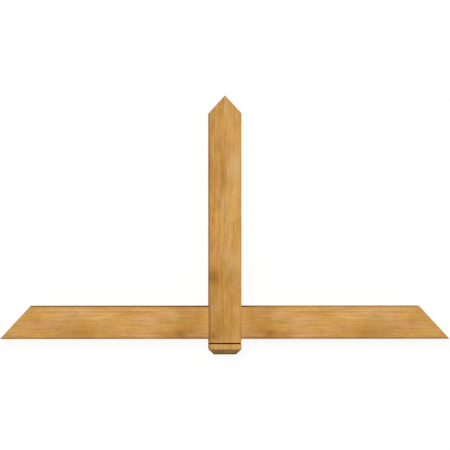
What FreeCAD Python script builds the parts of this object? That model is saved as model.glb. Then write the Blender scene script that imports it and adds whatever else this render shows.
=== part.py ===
"""Timber gable bracket: a king post between two arms that fit under the rakes of a gable roof.

The bracket lies on its back: X runs along the arms, Y up the king post and Z out of the wall.
The origin is on the back face, on the centreline, level with the underside of the arms. That is
the middle of the base of the roof triangle: the two roof planes pass through the lower tips of
the arms and meet at the peak of the post, so the sloping cuts of all three timbers lie in them.

Three planed timbers make it. Each arm has a stub tenon that is glued into a blind mortise in the
side of the post. All sizes are in millimetres.
"""

import FreeCAD
import Part
import math
import os

INCH = 25.4

# Roof triangle
bracket_width = 48 * INCH       # from the tip of one arm to the tip of the other
roof_rise = 13.0                # the pitch, as rise over run
roof_run = 12.0

# Timbers
bracket_depth = 3.5 * INCH      # out of the wall, the same for all three, so that they lie flush
post_face = 3.5 * INCH          # the king post's face, across X
arm_face = 3.5 * INCH           # the arms' face, across Y
arris_radius = 1.6              # the planer's easing of the long edges

# Foot of the king post
foot_drop = 42.5                # how far the post hangs below the arms
foot_chamfer = 14.0             # each of the four 45-degree cuts round the end
kerf_width = 3.2                # the decorative saw cut round the foot
kerf_depth = 4.5
kerf_above_foot = 30.2          # from the end of the post to the middle of the saw cut

# Joints
tenon_length = 25.0
tenon_height = 50.0             # along the post
tenon_thickness = 28.0          # out of the wall
tenon_side_gap = 0.2            # glue line on each cheek and edge of a tenon
tenon_end_gap = 1.5             # room for glue at the bottom of a mortise

# Places that follow from the sizes
half_width = bracket_width / 2
pitch = roof_rise / roof_run
peak_height = half_width * pitch
post_half = post_face / 2
arm_middle = arm_face / 2
depth_middle = bracket_depth / 2
OVERRUN = 10.0                  # how far a cutting outline reaches past the wood


def planed_timber(low, high, grain):
    """A bar from corner low to corner high, with its four edges along the grain eased."""
    size = high - low
    bar = Part.makeBox(size.x, size.y, size.z, low)
    long_edges = []
    for edge in bar.Edges:
        run = edge.Vertexes[1].Point - edge.Vertexes[0].Point
        if abs(run.dot(grain)) > 0.5 * run.Length:
            long_edges.append(edge)
    return bar.makeFillet(arris_radius, long_edges)


def cut_to_outline(timber, corners, thickness):
    """What is left of a timber inside an outline that is swept along the vector thickness."""
    face = Part.Face(Part.makePolygon(corners + corners[:1]))
    return timber.common(face.extrude(thickness))


def fit_under_roof(timber):
    """Cuts a timber to the two roof planes."""
    reach = half_width + OVERRUN
    eaves = peak_height - reach * pitch
    low = -foot_drop - OVERRUN
    corners = []
    for x, y in [(0, peak_height), (-reach, eaves), (-reach, low), (reach, low), (reach, eaves)]:
        corners.append(FreeCAD.Vector(x, y, -OVERRUN))
    return cut_to_outline(timber, corners, FreeCAD.Vector(0, 0, bracket_depth + 2 * OVERRUN))


def foot_outline(half_face):
    """The tapered foot seen square on to one face: pairs of distance from the middle and height."""
    narrow = half_face - foot_chamfer - OVERRUN
    wide = half_face + OVERRUN
    low = -foot_drop - OVERRUN
    shoulder = low + wide - narrow
    high = peak_height + OVERRUN
    return [(-narrow, low), (narrow, low), (wide, shoulder), (wide, high), (-wide, high), (-wide, shoulder)]


def taper_foot(post):
    """Cuts the four sloping faces of the foot, first the pair at the sides and then back and front."""
    from_front = [FreeCAD.Vector(across, y, -OVERRUN) for across, y in foot_outline(post_half)]
    post = cut_to_outline(post, from_front, FreeCAD.Vector(0, 0, bracket_depth + 2 * OVERRUN))
    past_side = -post_half - OVERRUN
    from_side = []
    for across, y in foot_outline(depth_middle):
        from_side.append(FreeCAD.Vector(past_side, y, depth_middle + across))
    return cut_to_outline(post, from_side, FreeCAD.Vector(post_face + 2 * OVERRUN, 0, 0))


def kerf_ring():
    """What a saw takes out in one pass round all four sides of the foot."""
    low = -foot_drop + kerf_above_foot - kerf_width / 2
    swept = Part.makeBox(
        post_face + 2 * OVERRUN, kerf_width, bracket_depth + 2 * OVERRUN,
        FreeCAD.Vector(-post_half - OVERRUN, low, -OVERRUN),
    )
    neck = Part.makeBox(
        post_face - 2 * kerf_depth, kerf_width, bracket_depth - 2 * kerf_depth,
        FreeCAD.Vector(-post_half + kerf_depth, low, kerf_depth),
    )
    return swept.cut(neck)


def tenon(side, side_gap=0.0, end_gap=0.0):
    """The stub tenon on one side of the post, -1 left or 1 right. With its gaps it is the mortise."""
    length = tenon_length + end_gap
    height = tenon_height + 2 * side_gap
    thickness = tenon_thickness + 2 * side_gap
    low_x = post_half - length if side > 0 else -post_half
    corner = FreeCAD.Vector(low_x, arm_middle - height / 2, depth_middle - thickness / 2)
    return Part.makeBox(length, height, thickness, corner)


def king_post():
    """The post: pitched at its peak, mortised for the arms, kerfed and tapered at its foot."""
    timber = planed_timber(
        FreeCAD.Vector(-post_half, -foot_drop, 0),
        FreeCAD.Vector(post_half, peak_height + OVERRUN, bracket_depth),
        FreeCAD.Vector(0, 1, 0),
    )
    post = taper_foot(fit_under_roof(timber))
    for side in (-1, 1):
        post = post.cut(tenon(side, tenon_side_gap, tenon_end_gap))
    return post.cut(kerf_ring())


def arm(side):
    """One arm: square against the post with its tenon, and cut to the roof at its outer end."""
    reach = half_width + OVERRUN
    low_x, high_x = (post_half, reach) if side > 0 else (-reach, -post_half)
    timber = planed_timber(
        FreeCAD.Vector(low_x, 0, 0),
        FreeCAD.Vector(high_x, arm_face, bracket_depth),
        FreeCAD.Vector(1, 0, 0),
    )
    return fit_under_roof(timber).fuse(tenon(side))


def export(name, timber):
    """Writes one timber to its STEP file and says what it is."""
    solid = timber.removeSplitter().Solids[0]
    solid.exportStep("parts/%s.step" % name)
    print("%-10s %7.1f cm3, %d faces, valid %s"
          % (name, solid.Volume / 1000, len(solid.Faces), solid.isValid()))


os.makedirs("parts", exist_ok=True)
print("pitch %.2f degrees, peak %.1f above the arms' underside, %.1f overall"
      % (math.degrees(math.atan(pitch)), peak_height, peak_height + foot_drop))
export("king_post", king_post())
export("left_arm", arm(-1))
export("right_arm", arm(1))
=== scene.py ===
import math

import bmesh
import bpy
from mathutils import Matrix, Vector, noise


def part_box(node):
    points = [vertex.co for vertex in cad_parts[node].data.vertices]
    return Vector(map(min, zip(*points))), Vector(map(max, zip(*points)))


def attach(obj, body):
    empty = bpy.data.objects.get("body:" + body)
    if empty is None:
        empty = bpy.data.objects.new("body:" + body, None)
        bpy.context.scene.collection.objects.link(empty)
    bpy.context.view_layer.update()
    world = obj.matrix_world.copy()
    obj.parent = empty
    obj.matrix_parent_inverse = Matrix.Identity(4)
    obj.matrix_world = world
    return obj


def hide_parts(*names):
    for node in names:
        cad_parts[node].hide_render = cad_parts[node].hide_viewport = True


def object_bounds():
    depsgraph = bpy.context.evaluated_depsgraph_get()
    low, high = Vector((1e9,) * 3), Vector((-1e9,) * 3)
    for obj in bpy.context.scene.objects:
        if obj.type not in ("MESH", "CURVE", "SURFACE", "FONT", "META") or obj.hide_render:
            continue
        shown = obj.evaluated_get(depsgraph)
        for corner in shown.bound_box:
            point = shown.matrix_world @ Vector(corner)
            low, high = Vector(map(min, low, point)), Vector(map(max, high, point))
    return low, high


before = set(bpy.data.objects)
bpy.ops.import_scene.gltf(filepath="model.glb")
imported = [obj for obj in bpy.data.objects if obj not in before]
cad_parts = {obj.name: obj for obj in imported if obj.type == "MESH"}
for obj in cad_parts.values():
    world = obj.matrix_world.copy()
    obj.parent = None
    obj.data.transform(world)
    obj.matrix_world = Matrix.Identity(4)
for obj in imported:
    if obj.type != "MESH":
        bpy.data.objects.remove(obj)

cad_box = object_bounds()

# ---------------------------------------------------------------------------------------------
# King post. One square softwood timber, planed, with its long edges eased by the planer. Its peak
# is sawn to the two roof planes, and its foot has a decorative saw cut and four sloping cuts. It
# is mortised on both sides for the arms and finished with a clear honey-coloured oil.
# ---------------------------------------------------------------------------------------------

MM = 0.001
post_low, post_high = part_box("king_post")
arms_low, arms_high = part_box("right_arm")
roof_pitch = post_high.y / arms_high.x      # both roof planes pass through the arms' lower tips
post_half = post_high.x                     # half the post's face
depth_middle = (post_low.z + post_high.z) / 2
arm_middle = (arms_low.y + arms_high.y) / 2

arris = 1.6 * MM                # easing of the long edges
sanded_edge = 0.5 * MM          # the sawn ends are only broken with sandpaper
foot_chamfer = 14 * MM
kerf_width = 3.2 * MM
kerf_depth = 4.5 * MM
kerf_y = post_low.y + 30.2 * MM
mortise_length = 26.5 * MM
joint_height = 50.4 * MM        # of the mortises, which the stub tenons fill
joint_thickness = 28.4 * MM
sharp_angle = math.radians(32)  # an edge that bends more than this was left by the saw
planer_wave = 0.10 * MM
edge_rub = 0.25 * MM
deepest_knock = 1.4 * MM
grid_along = 5 * MM             # the mesh's spacing along a timber and across it
grid_across = 7 * MM


def planed_block(low, high, grain):
    """A block from corner low to corner high, eased on its four edges along the grain axis."""
    block = bmesh.new()
    bmesh.ops.create_cube(block, size=1.0)
    bmesh.ops.scale(block, vec=high - low, verts=block.verts)
    bmesh.ops.translate(block, vec=(low + high) / 2, verts=block.verts)
    long_edges = []
    for edge in block.edges:
        run = edge.verts[1].co - edge.verts[0].co
        if abs(run[grain]) > 0.5 * run.length:
            long_edges.append(edge)
    bmesh.ops.bevel(block, geom=long_edges, offset=arris, segments=4, profile=0.5,
                    affect="EDGES", material=-1)
    return block


def score(block, point, across):
    """Cuts new edges where a plane crosses the block and takes nothing away."""
    everything = block.verts[:] + block.edges[:] + block.faces[:]
    return bmesh.ops.bisect_plane(block, geom=everything, dist=1e-7, plane_co=point,
                                  plane_no=across)


def saw_off(block, point, outward):
    """Saws off what lies outside a plane and closes the cut."""
    everything = block.verts[:] + block.edges[:] + block.faces[:]
    cut = bmesh.ops.bisect_plane(block, geom=everything, dist=1e-7, plane_co=point,
                                 plane_no=outward, clear_outer=True)
    rim = [piece for piece in cut["geom_cut"] if isinstance(piece, bmesh.types.BMEdge)]
    bmesh.ops.edgeloop_fill(block, edges=rim)


def saw_to_roof(block):
    """Saws a timber to the two roof planes."""
    for side in (-1, 1):
        saw_off(block, Vector((0, post_high.y, 0)), Vector((side * roof_pitch, 1, 0)))


def break_edges(block):
    """Takes the sharp edges that the saw left off with sandpaper."""
    sharp = [edge for edge in block.edges if edge.calc_face_angle(0.0) > sharp_angle]
    bmesh.ops.bevel(block, geom=sharp, offset=sanded_edge, segments=2, profile=0.5,
                    affect="EDGES", material=-1, clamp_overlap=True)


def faces_within(block, low, high):
    """The faces whose middles lie in the box from low to high."""
    inside = []
    for face in block.faces:
        middle = face.calc_center_median()
        if all(low[i] <= middle[i] <= high[i] for i in range(3)):
            inside.append(face)
    return inside


def push_out(block, faces, move):
    """Extrudes faces by the vector move. Into the block it leaves a pocket."""
    pushed = bmesh.ops.extrude_face_region(block, geom=faces)
    corners = [piece for piece in pushed["geom"] if isinstance(piece, bmesh.types.BMVert)]
    bmesh.ops.translate(block, vec=move, verts=corners)
    bmesh.ops.delete(block, geom=[face for face in faces if face.is_valid], context="FACES")
    return corners


def joint_face(block, face_x, push):
    """Marks the joint's outline on an upright face at face_x and pushes it by push along X."""
    for side in (-1, 1):
        score(block, Vector((0, arm_middle + side * joint_height / 2, 0)), Vector((0, 1, 0)))
        score(block, Vector((0, 0, depth_middle + side * joint_thickness / 2)), Vector((0, 0, 1)))
    reach = Vector((MM / 2, joint_height / 2, joint_thickness / 2))
    middle = Vector((face_x, arm_middle, depth_middle))
    push_out(block, faces_within(block, middle - reach, middle + reach), Vector((push, 0, 0)))


def rule_grid(block, axis, low, high, step):
    """Scores a block with evenly spaced planes, and beside each eased edge, so it can be worked."""
    direction = Vector([float(i == axis) for i in range(3)])
    count = max(1, round((high - low) / step))
    places = [low + (high - low) * i / count for i in range(1, count)]
    places += [low + arris * 1.5, high - arris * 1.5]
    for place in places:
        score(block, direction * place, direction)


def wear(block, seed):
    """Takes a planer's slight waves off the faces, and small knocks off the edges."""
    block.normal_update()
    moves = []
    for vert in block.verts:
        bend = max(edge.calc_face_angle(0.0) for edge in vert.link_edges)
        on_edge = min(1.0, bend / math.radians(15))
        at_joint = abs(abs(vert.co.x) - post_half) < 0.1 * MM and abs(vert.normal.x) > 0.9
        spot = vert.co / MM
        waves = 0.5 + 0.5 * noise.noise(spot / 70 + Vector((seed, 0, 0)))
        knock = max(0.0, noise.noise(spot / 11 + Vector((0, seed, 0))) - 0.28)
        rub = 0.5 + 0.5 * noise.noise(spot / 45 + Vector((0, 0, seed)))
        depth = planer_wave * waves + on_edge * (edge_rub * rub + deepest_knock * knock)
        moves.append((vert, vert.normal * (0.0 if at_joint else -depth)))
    for vert, move in moves:
        vert.co += move


def finish_piece(block, name, finishes, node):
    """Makes the object, smooth except at its sawn edges, and gives it its place in the frame."""
    bmesh.ops.recalc_face_normals(block, faces=block.faces)
    for face in block.faces:
        face.smooth = True
    for edge in block.edges:
        edge.smooth = edge.is_manifold and edge.calc_face_angle(0.0) < sharp_angle
    mesh = bpy.data.meshes.new(name)
    block.to_mesh(mesh)
    block.free()
    for finish in finishes:
        mesh.materials.append(finish)
    piece = bpy.data.objects.new(name, mesh)
    bpy.context.scene.collection.objects.link(piece)
    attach(piece, "root")
    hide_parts(node)
    return piece


class Socket:
    """A shader node's output. Python's arithmetic on it adds Math nodes."""

    def __init__(self, output):
        self.output = output

    def node(self, kind, settings=None, inputs=None, output=0):
        """Adds a node to the same material, with its settings first and then its inputs."""
        tree = self.output.id_data
        made = tree.nodes.new("ShaderNode" + kind)
        for name, setting in (settings or {}).items():
            if name == "stops":
                while len(made.color_ramp.elements) < len(setting):
                    made.color_ramp.elements.new(0.5)
                for element, (place, level) in zip(made.color_ramp.elements, setting):
                    element.position = place
                    element.color = (level, level, level, 1.0)
            else:
                setattr(made, name, setting)
        for name, value in (inputs or {}).items():
            if isinstance(value, Socket):
                tree.links.new(value.output, made.inputs[name])
            else:
                made.inputs[name].default_value = value
        return Socket(made.outputs[output])

    def feed(self, socket):
        """Links this output to a shader's input."""
        self.output.id_data.links.new(self.output, socket)

    def maths(self, operation, *others):
        return self.node("Math", {"operation": operation}, dict(enumerate((self, *others))))

    def __add__(self, other):
        return self.maths("ADD", other)

    def __sub__(self, other):
        return self.maths("SUBTRACT", other)

    def __rsub__(self, other):
        return self.node("Math", {"operation": "SUBTRACT"}, {0: other, 1: self})

    def __mul__(self, other):
        return self.maths("MULTIPLY", other)

    def __truediv__(self, other):
        return self.maths("DIVIDE", other)

    def __neg__(self):
        return self.maths("MULTIPLY", -1.0)

    def __abs__(self):
        return self.maths("ABSOLUTE")

    __radd__ = __add__
    __rmul__ = __mul__

    def lower(self, other):
        return self.maths("MINIMUM", other)

    def higher(self, other):
        return self.maths("MAXIMUM", other)

    def step(self, start, end):
        """0 at start and 1 at end, in a smooth curve between."""
        return self.node("MapRange", {"interpolation_type": "SMOOTHSTEP"},
                         {"Value": self, "From Min": start, "From Max": end})

    def blend(self, first, second, way="MIX"):
        """The colour first where this is 0, and second where it is 1."""
        return self.node("Mix", {"data_type": "RGBA", "blend_type": way},
                         {0: self, 6: first, 7: second}, output=2)


def paint(red, green, blue):
    """A colour given as it looks on a screen, from 0 to 255, in the linear numbers shaders use."""
    linear = []
    for level in (red / 255, green / 255, blue / 255):
        linear.append(level / 12.92 if level < 0.04045 else ((level + 0.055) / 1.055) ** 2.4)
    return (*linear, 1.0)


def new_finish(name):
    """A material, its surface shader and the object coordinates X, Y and Z to draw it from."""
    material = bpy.data.materials.new(name)
    material.use_nodes = True
    nodes = material.node_tree.nodes
    place = Socket(nodes.new("ShaderNodeTexCoord").outputs["Object"])
    axes = [place.node("SeparateXYZ", inputs={0: place}, output=i) for i in range(3)]
    return material, nodes["Principled BSDF"], axes


# The tree: how its wood grew, which is the same for all three timbers
ring_width = 2.3 * MM
shade_middle = 1.145            # about what the streaks of light and dark add up to
red_change = 0.7                # a darker streak loses less of its red than of its blue
blue_change = 1.8
spring_wood = paint(208, 158, 81)
summer_wood = paint(168, 112, 41)
bright_wood = paint(221, 168, 92)
golden_wood = paint(213, 156, 66)
pale_wood = paint(207, 165, 108)
rosy_wood = paint(205, 144, 88)
olive_wood = paint(174, 127, 46)
brown_wood = paint(166, 110, 40)
dull_wood = paint(168, 116, 68)
sap_wood = paint(240, 190, 126)
heart_brown = paint(138, 88, 22)
# Sawn end grain, darker from the oil and also from painted shade
end_grain_and_shade = paint(98, 66, 36)
# Painted shade for the edges, where they turn away from the light
painted_shade_brown = paint(92, 54, 18)
# Painted deep shade: in the saw cut, and the post's shadow on the arm
shade_black = paint(14, 5, 1)


def hump(along, across, at_along, at_across, length, width):
    """1 at a spot on the timber's face, and falling away round it."""
    lengthwise = (along - at_along) / length
    sideways = (across - at_across) / width
    return (-(lengthwise * lengthwise + sideways * sideways)).maths("EXPONENT")


def near(gap, width):
    """1 within about this width of an edge, where gap is the distance from it."""
    return gap.step(width * 1.25, width * 0.75)


def softwood(shader, along, across, depth, pith, lean, wander, seed, swells, stains, paler,
             end_gap, shaded_edges, deep_shade=None):
    """Draws one timber's wood: its rings round the pith, fibres, tones, sawn ends and edges.

    The pith is given across and in depth. It leans along the timber and wanders. The swells lift
    the rings, the stains tint the face, and paler lightens it from side to side. end_gap is the
    distance from the sawn faces. The last two arguments are 1 where shade is painted on the wood:
    along its edges, and near black in and beside the saw cut and in the post's shadow.
    """

    def streaks(length, width, detail, shift):
        """Noise drawn out along the grain, in patches of about this length and width."""
        spot = along.node("CombineXYZ", inputs={
            0: along / length, 1: across / width, 2: depth / width + (seed + shift)})
        return spot.node("TexNoise", {"noise_dimensions": "3D"},
                         {"Vector": spot, "Scale": 1.0, "Detail": detail, "Roughness": 0.55})

    # Rings, which the swells bend into arches on the face
    sway = streaks(0.40, 0.40, 1.0, 0.0) - 0.5
    aside = across - pith[0] + sway * wander
    below = depth - pith[1] + along * lean
    warp = (streaks(0.16, 0.050, 1.0, 3.1) - 0.5) * 0.010
    ripple = (streaks(0.06, 0.012, 1.0, 7.7) - 0.5) * 0.0016
    radius = (aside * aside + below * below).maths("SQRT") + warp + ripple
    for at_along, at_across, length, width, height in swells:
        radius = radius + hump(along, across, at_along, at_across, length, width) * height
    growth = (radius / ring_width).maths("FRACT")
    late = growth.node("ValToRGB", {"stops": [
        (0.0, 0.55), (0.08, 0.08), (0.45, 0.15), (0.75, 0.5), (0.92, 1.0), (1.0, 0.55)]},
        {0: growth})
    clear = streaks(0.14, 0.030, 1.0, 11.3).step(0.30, 0.70)
    late = late * (0.32 + clear * 0.74)

    # Fibres, pores and the broad changes of tone
    fibre = streaks(0.030, 0.0011, 2.0, 17.9)
    grain = streaks(0.180, 0.0024, 1.0, 20.3)
    band = streaks(0.090, 0.0052, 2.0, 23.3)
    broad = streaks(0.055, 0.022, 2.0, 31.7)
    pale = streaks(0.080, 0.022, 1.0, 37.3)
    rosy = streaks(0.075, 0.020, 1.0, 41.1).step(0.50, 0.72)
    olive = streaks(0.060, 0.026, 1.0, 53.9).step(0.52, 0.74)
    mottle = streaks(0.011, 0.0040, 2.0, 57.1)
    pores = streaks(0.006, 0.0006, 0.0, 61.3).step(0.68, 0.80)

    tone = late.blend(spring_wood, summer_wood)
    tone = (pale.step(0.47, 0.74) * 0.80).blend(tone, pale_wood)
    tone = (pale.step(0.53, 0.26) * 0.80).blend(tone, golden_wood)
    tone = (rosy * 0.55).blend(tone, rosy_wood)
    tone = (olive * 0.45).blend(tone, olive_wood)
    for at_along, at_across, length, width, strength, colour in stains:
        spot = hump(along, across, at_along, at_across, length, width)
        tone = (spot * strength).blend(tone, colour)
    shade = band * 0.48 + broad * 0.42 + fibre * 0.40 + grain * 0.52 + mottle * 0.42 - pores * 0.12
    shade = shade + across * paler - shade_middle
    shade = shade.node("CombineColor", inputs={
        0: shade * red_change + 1, 1: shade + 1, 2: shade * blue_change + 1})
    tone = shade.node("Mix", {"data_type": "RGBA", "blend_type": "MULTIPLY"},
                      {0: 1.0, 6: tone, 7: shade}, output=2)

    # Sawn ends drink more of the oil and darken. Their darkening also holds painted shade, as dark
    # as the foot cuts that face down would be in shade
    end = 1 - end_gap.step(0.30 * MM, 0.65 * MM)
    saw_marks = end.node("TexNoise", {"noise_dimensions": "3D"}, {
        "Vector": end.node("CombineXYZ", inputs={
            0: along / 0.020, 1: across / 0.0016 + depth / 0.030, 2: depth / 0.060 + seed}),
        "Scale": 1.0, "Detail": 1.0})
    tone = (end * (0.42 + late * 0.35 + saw_marks * 0.25)).blend(tone, end_grain_and_shade)
    # Painted shade along the edges, where they turn away from the light
    tone = (shaded_edges * (0.8 + fibre * 0.4)).blend(tone, painted_shade_brown)
    # Painted deep shade, near black: in and beside the saw cut, and the post's shadow on the right
    # arm
    if deep_shade is not None:
        tone = (deep_shade * 0.90).blend(tone, shade_black)
    tone.feed(shader.inputs["Base Color"])

    rough = 0.56 + fibre * 0.10 - late * 0.06 + end * 0.16
    rough.feed(shader.inputs["Roughness"])
    height = late * 0.05 + fibre * 0.07 - pores * 0.05 + band * 0.05 + end * saw_marks * 0.25
    relief = height.node("Bump", inputs={"Height": height, "Strength": 1.0, "Distance": MM})
    relief.feed(shader.inputs["Normal"])
    shader.inputs["Specular IOR Level"].default_value = 0.18


post_finish, post_shader, (x, y, z) = new_finish("oiled_post_wood")
aside = abs(x)
deep = abs(z - depth_middle)
roof_gap = (post_high.y - aside * roof_pitch - y) / math.hypot(roof_pitch, 1)
side_cut = (y - (post_low.y + foot_chamfer - post_half) - aside) / math.sqrt(2)
face_cut = (y - (post_low.y + foot_chamfer - post_half) - deep) / math.sqrt(2)
foot_gap = (y - post_low.y).lower(side_cut).lower(face_cut)
to_front = post_half - deep
# Painted shade along the post's edges: strongest on its left edge and at the foot's lower edge,
# faint on its right edge and at the peak
painted_edge_shade = near((post_half + x).higher(to_front), 4.4 * MM) * 0.42
painted_edge_shade = painted_edge_shade.higher(near((post_half - x).higher(to_front), 2.4 * MM) * 0.12)
painted_edge_shade = painted_edge_shade.higher(near(roof_gap, 2.4 * MM) * 0.08)
painted_edge_shade = painted_edge_shade.higher(near(y - post_low.y, 4.2 * MM) * 0.60)
# Painted shade, near black, in the saw cut and just beyond its lips
kerf_rim_shade = 1 - abs(y - kerf_y).step(kerf_width / 2, kerf_width / 2 + 0.45 * MM)
softwood(
    post_shader, along=y, across=x, depth=z,
    pith=(-0.085, -0.030), lean=0.006, wander=0.006, seed=2.0,
    swells=[    # along, across, length, width, height
        (0.300, -0.034, 0.060, 0.008, 0.0014),
        (0.060, -0.022, 0.060, 0.012, 0.0030),
    ],
    stains=[    # along, across, length, width, strength, colour
        (0.600, -0.030, 0.020, 0.010, 0.30, pale_wood),
        (0.580, -0.032, 0.014, 0.004, 0.40, heart_brown),
        (0.500, -0.0262, 0.075, 0.0012, 0.36, brown_wood),
        (0.385, -0.0275, 0.034, 0.0012, 0.36, brown_wood),
        (0.335, -0.0305, 0.022, 0.0014, 0.40, brown_wood),
        (0.545, 0.018, 0.040, 0.020, 0.35, bright_wood),
        (0.455, 0.024, 0.060, 0.016, 0.55, pale_wood),
        (0.395, 0.026, 0.025, 0.018, 0.45, bright_wood),
        (0.460, -0.008, 0.065, 0.014, 0.35, brown_wood),
        (0.455, -0.032, 0.050, 0.009, 0.32, dull_wood),
        (0.462, -0.041, 0.034, 0.005, 0.40, brown_wood),
        (0.290, -0.035, 0.060, 0.005, 0.45, rosy_wood),
        (0.322, -0.0335, 0.012, 0.003, 0.35, heart_brown),
        (0.333, 0.024, 0.016, 0.030, 0.45, bright_wood),
        (0.275, -0.016, 0.020, 0.022, 0.20, pale_wood),
        (0.230, 0.006, 0.022, 0.050, 0.42, pale_wood),
        (0.138, 0.001, 0.012, 0.010, 0.22, brown_wood),
        (0.082, -0.034, 0.028, 0.009, 0.42, olive_wood),
        (0.065, -0.010, 0.030, 0.009, 0.35, bright_wood),
        (0.060, 0.006, 0.022, 0.006, 0.24, brown_wood),
        (0.050, -0.004, 0.110, 0.060, 0.40, olive_wood),
        (0.166, -0.032, 0.020, 0.016, 0.80, brown_wood),
        (0.166, 0.000, 0.026, 0.040, 0.25, brown_wood),
        (0.168, -0.031, 0.016, 0.014, 0.42, heart_brown),
        (0.024, -0.020, 0.026, 0.030, 0.45, brown_wood),
        (0.006, -0.031, 0.012, 0.010, 0.75, heart_brown),
        (0.006, 0.010, 0.012, 0.014, 0.35, pale_wood),
        (0.082, 0.034, 0.016, 0.010, 0.35, bright_wood),
        (0.045, -0.040, 0.045, 0.0035, 0.35, heart_brown),
        (-0.021, 0.000, 0.011, 0.080, 0.30, pale_wood),
        (0.020, 0.033, 0.014, 0.002, 0.40, pale_wood),
        (0.026, 0.037, 0.026, 0.006, 0.25, brown_wood),
    ],
    paler=1.1, end_gap=roof_gap.lower(foot_gap), shaded_edges=painted_edge_shade, deep_shade=kerf_rim_shade,
)

# The saw cut's walls, near black: painted shade of the deep, narrow cut
kerf_finish, kerf_shader, (x, y, z) = new_finish("shaded_saw_cut")
spot = x.node("CombineXYZ", inputs={0: x / 0.004, 1: y / 0.002, 2: z / 0.004})
groove_shade = spot.node("TexNoise", {"noise_dimensions": "3D"},
                 {"Vector": spot, "Scale": 1.0, "Detail": 3.0})
groove_shade = groove_shade.step(0.40, 0.75)
groove_shade_brown = paint(34, 13, 2)
groove_shade.blend(shade_black, groove_shade_brown).feed(kerf_shader.inputs["Base Color"])
(0.95 - groove_shade * 0.15).feed(kerf_shader.inputs["Roughness"])
kerf_shader.inputs["Specular IOR Level"].default_value = 0.0

post = planed_block(post_low, post_high, grain=1)
saw_to_roof(post)
for outward in (Vector((1, 0, 0)), Vector((-1, 0, 0)), Vector((0, 0, 1)), Vector((0, 0, -1))):
    shoulder = Vector((0, post_low.y + foot_chamfer, depth_middle)) + outward * post_half
    saw_off(post, shoulder, outward + Vector((0, -1, 0)))
break_edges(post)
for side in (-1, 1):
    joint_face(post, side * post_half, -side * mortise_length)
    score(post, Vector((0, kerf_y + side * kerf_width / 2, 0)), Vector((0, 1, 0)))
kerf_reach = Vector((1, kerf_width / 4, 1))
kerf_middle = Vector((0, kerf_y, depth_middle))
kerf_floor = push_out(post, faces_within(post, kerf_middle - kerf_reach, kerf_middle + kerf_reach),
                      Vector((0, 0, 0)))
for vert in kerf_floor:
    vert.co.x *= 1 - kerf_depth / post_half
    vert.co.z = depth_middle + (vert.co.z - depth_middle) * (1 - kerf_depth / post_half)
    for face in vert.link_faces:
        face.material_index = 1
rule_grid(post, 0, -post_half, post_half, grid_across)
rule_grid(post, 2, post_low.z, post_high.z, grid_across)
rule_grid(post, 1, post_low.y, post_high.y, grid_along)
wear(post, seed=3.0)
finish_piece(post, "king_post_timber", [post_finish, kerf_finish], "king_post")

# ---------------------------------------------------------------------------------------------
# Arms. Two lengths sawn from the same board and opened like a book, so that the figure of one is
# the mirror image of the other. Each is square at the post, where a stub tenon is glued into the
# post's mortise, and is sawn to the roof at its outer end. They have the post's easing and oil.
# ---------------------------------------------------------------------------------------------

tenon_length = 25 * MM
arm_half = (arms_high.y - arms_low.y) / 2

arm_finish, arm_shader, (x, y, z) = new_finish("oiled_arm_wood")
outward = abs(x)
roof_gap = (post_high.y - outward * roof_pitch - y) / math.hypot(roof_pitch, 1)
to_front = arm_half - abs(z - depth_middle)
# Painted shade along the arms' lower and upper edges, deeper on the upper edge beside the post,
# where the post shades it
painted_edge_shade = near((y - arms_low.y).higher(to_front), 5.4 * MM) * 0.36
shade_by_post = outward.step(110 * MM, 50 * MM)
top_edge = near((arms_high.y - y).higher(to_front), 2.4 * MM)
painted_edge_shade = painted_edge_shade.higher(top_edge * (0.42 + shade_by_post * 0.45))
# Painted shadow of the post, a near-black line on the right arm's upper edge
post_shadow = top_edge * x.step(84 * MM, 46 * MM) * 0.75       # on the right arm only
painted_edge_shade = painted_edge_shade.higher(near(roof_gap, 2.4 * MM) * 0.08)
softwood(
    arm_shader, along=outward, across=y, depth=z,
    pith=(-0.030, -0.035), lean=-0.012, wander=0.016, seed=9.0,
    swells=[    # along, across, length, width, height
        (0.462, 0.010, 0.045, 0.016, 0.0050),
        (0.378, 0.006, 0.045, 0.016, -0.0046),
        (0.240, 0.052, 0.070, 0.014, 0.0030),
        (0.130, 0.016, 0.030, 0.012, 0.0040),
    ],
    stains=[    # along, across, length, width, strength, colour
        (0.430, 0.062, 0.030, 0.016, 0.60, pale_wood),
        (0.395, 0.018, 0.065, 0.026, 0.50, brown_wood),
        (0.335, 0.062, 0.034, 0.020, 0.50, bright_wood),
        (0.212, 0.034, 0.050, 0.026, 0.35, pale_wood),
        (0.208, 0.014, 0.040, 0.016, 0.50, rosy_wood),
        (0.110, 0.044, 0.028, 0.036, 0.50, olive_wood),
        (0.116, 0.082, 0.026, 0.014, 0.50, brown_wood),
        (0.116, 0.014, 0.030, 0.018, 0.75, brown_wood),
        (0.160, 0.008, 0.024, 0.010, 0.45, brown_wood),
        (0.121, 0.014, 0.013, 0.007, 0.60, heart_brown),
        (0.072, 0.045, 0.026, 0.090, 0.40, brown_wood),
        (0.068, 0.010, 0.018, 0.010, 0.35, olive_wood),
        (0.293, 0.048, 0.016, 0.022, 0.32, bright_wood),
        (0.379, 0.060, 0.016, 0.010, 0.30, bright_wood),
        (0.423, 0.024, 0.018, 0.012, 0.25, pale_wood),
        (0.119, 0.045, 0.016, 0.012, 0.28, brown_wood),
        (0.270, 0.0773, 0.200, 0.0016, 0.50, sap_wood),
        (0.250, 0.0745, 0.160, 0.0014, 0.40, summer_wood),
    ],
    paler=0.9, end_gap=roof_gap, shaded_edges=painted_edge_shade, deep_shade=post_shadow,
)

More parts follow.
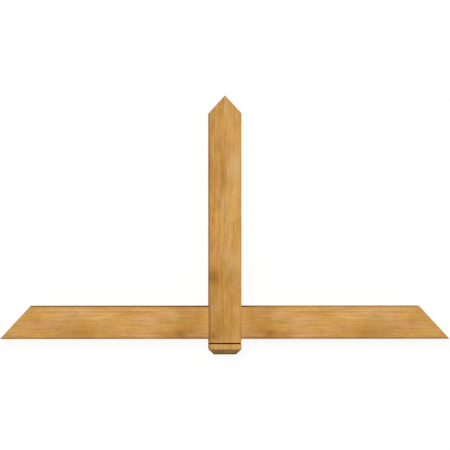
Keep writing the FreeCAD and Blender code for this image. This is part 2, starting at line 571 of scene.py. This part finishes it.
for side, node in ((-1, "left_arm"), (1, "right_arm")):
    near, far = sorted((side * post_half, side * arms_high.x))
    low = Vector((near, arms_low.y, arms_low.z))
    high = Vector((far, arms_high.y, arms_high.z))
    arm = planed_block(low, high, grain=0)
    saw_to_roof(arm)
    break_edges(arm)
    joint_face(arm, side * post_half, -side * tenon_length)
    rule_grid(arm, 1, low.y, high.y, grid_across)
    rule_grid(arm, 2, low.z, high.z, grid_across)
    rule_grid(arm, 0, low.x, high.x, grid_along)
    wear(arm, seed=20.0 + side)
    finish_piece(arm, node + "_timber", [arm_finish], node)

# ---------------------------------------------------------------------------------------------
# Studio. The bracket lies on a plain white floor in a pale room. One large soft lamp shines from
# overhead, leaning towards the peak and to the left. The camera hangs over it, a little to its left.
# ---------------------------------------------------------------------------------------------

floor_size = 60.0
floor_drop = 0.1 * MM                   # below the bracket's back
sheet = bmesh.new()
bmesh.ops.create_grid(sheet, x_segments=1, y_segments=1, size=floor_size / 2)
bmesh.ops.translate(sheet, vec=(0, 0, cad_box[0].z - floor_drop), verts=sheet.verts)
floor_mesh = bpy.data.meshes.new("studio_floor")
sheet.to_mesh(floor_mesh)
sheet.free()
floor = bpy.data.objects.new("studio_floor", floor_mesh)
bpy.context.scene.collection.objects.link(floor)

floor_finish, floor_shader, _ = new_finish("white_floor")
floor_mesh.materials.append(floor_finish)
rays = Socket(floor_finish.node_tree.nodes.new("ShaderNodeLightPath").outputs["Is Camera Ray"])
rays.blend((0.80, 0.80, 0.80, 1), (0.11, 0.11, 0.11, 1)).feed(floor_shader.inputs["Base Color"])
rays.blend((0, 0, 0, 1), (0.90, 0.90, 0.90, 1)).feed(floor_shader.inputs["Emission Color"])
floor_shader.inputs["Emission Strength"].default_value = 1.0
floor_shader.inputs["Roughness"].default_value = 0.9
floor_shader.inputs["Specular IOR Level"].default_value = 0.0

room_light = 0.42
world = bpy.data.worlds.new("pale_room")
world.use_nodes = True
bpy.context.scene.world = world
background = world.node_tree.nodes["Background"]
light_path = world.node_tree.nodes.new("ShaderNodeLightPath")
seen = Socket(light_path.outputs["Is Camera Ray"])
seen = seen.higher(Socket(light_path.outputs["Is Glossy Ray"]))
seen = seen.higher(Socket(light_path.outputs["Is Transmission Ray"]))
(room_light + seen * (1 - room_light)).feed(background.inputs["Strength"])
background.inputs["Color"].default_value = (1, 1, 1, 1)

lamp_tilt_up = math.radians(12)         # from straight overhead, towards the peak
lamp_tilt_left = math.radians(7)
lamp = bpy.data.lights.new("soft_lamp", "SUN")
lamp.energy = 1.85
lamp.angle = math.radians(24)
lamp_object = bpy.data.objects.new("soft_lamp", lamp)
bpy.context.scene.collection.objects.link(lamp_object)
towards_lamp = Vector((-math.tan(lamp_tilt_left), math.tan(lamp_tilt_up), 1))
lamp_object.rotation_mode = "QUATERNION"
lamp_object.rotation_quaternion = towards_lamp.to_track_quat("Z", "Y")

camera_above = 8.5                      # from the bracket's front faces
camera_aside = -0.17                    # far enough to see a sliver of the post's left side
camera = bpy.data.cameras.new("camera")
camera.sensor_width = 36.0
width_seen = cad_box[1].x - cad_box[0].x
camera.lens = camera.sensor_width * camera_above / width_seen
camera_object = bpy.data.objects.new("camera", camera)
aim = (cad_box[0] + cad_box[1]) / 2
aim.z = cad_box[1].z
camera_object.location = aim + Vector((camera_aside, 0, camera_above))
camera_object.rotation_euler.y = math.atan2(camera_aside, camera_above)
bpy.context.scene.collection.objects.link(camera_object)
bpy.context.scene.camera = camera_object

bpy.context.scene.view_settings.view_transform = "Standard"
